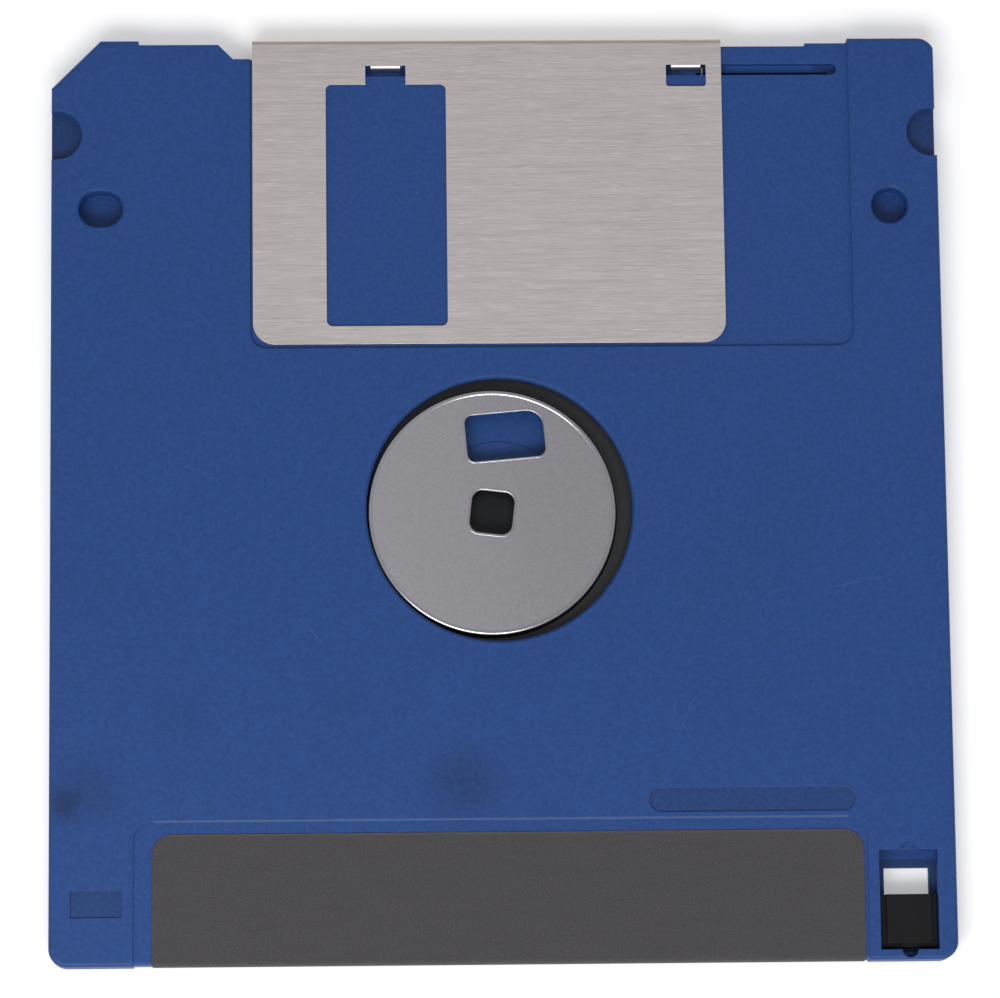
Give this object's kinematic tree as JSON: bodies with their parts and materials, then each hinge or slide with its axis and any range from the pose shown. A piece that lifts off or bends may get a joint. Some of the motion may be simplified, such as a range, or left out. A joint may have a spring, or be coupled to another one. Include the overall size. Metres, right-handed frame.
{
  "type": "floppy disk",
  "caption": "Flat square 90 mm floppy disk: two plastic shells, sprung metal shutter, round metal hub on a thin film, sliding write-protect tab and paper label.",
  "frame": {"origin": "under the middle of the case, on the surface that the label side rests on", "axes": "+X across the case, the way the shutter slides open; +Y along the case to the shutter end; +Z out of the hub side"},
  "size_m": [0.09, 0.094, 0.0033],
  "materials": {
    "case_plastic": "fine matte moulded texture, deep blue",
    "shutter_steel": "thin stainless sheet, brushed across the case",
    "spring_steel": "plain drawn spring wire",
    "coated_film": "satin dark magnetic coating on polyester film",
    "adhesive": "thin pressure-sensitive adhesive ring",
    "hub_steel": "satin stamped steel with faint turned rings",
    "liner_cloth": "soft white nonwoven cloth",
    "lifter_film": "springy folded polyester leaf",
    "wear_plastic": "hard smooth black plastic",
    "slider_plastic": "black moulded plastic",
    "label_paper": "dark grey matte paper, blank"
  },
  "bodies": {
    "case": {"front_shell": "case_plastic", "back_shell": "case_plastic", "shutter_spring": "spring_steel", "front_liner": "liner_cloth", "back_liner": "liner_cloth", "liner_lifter": "lifter_film", "wear_button": "wear_plastic", "label": "label_paper"},
    "shutter": {"shutter": "shutter_steel"},
    "disk": {"magnetic_disk": "coated_film", "hub_adhesive_ring": "adhesive", "hub": "hub_steel"},
    "write_protect": {"write_protect_slider": "slider_plastic"}
  },
  "joints": [
    {"name": "shutter_slide", "type": "slide", "parent": "case", "child": "shutter", "axis": [1, 0, 0], "range_m": [0, 0.012], "stiffness_N_per_m": 20, "springref_m": -0.01, "deforming": ["shutter_spring"]},
    {"name": "disk_spin", "type": "hinge", "parent": "case", "child": "disk", "pos_m": [-0.00075, -0.00181, 0.00165], "axis": [0, 0, 1], "continuous": true},
    {"name": "write_protect_slide", "type": "slide", "parent": "case", "child": "write_protect", "axis": [0, 1, 0], "range_m": [0, 0.004]}
  ]
}
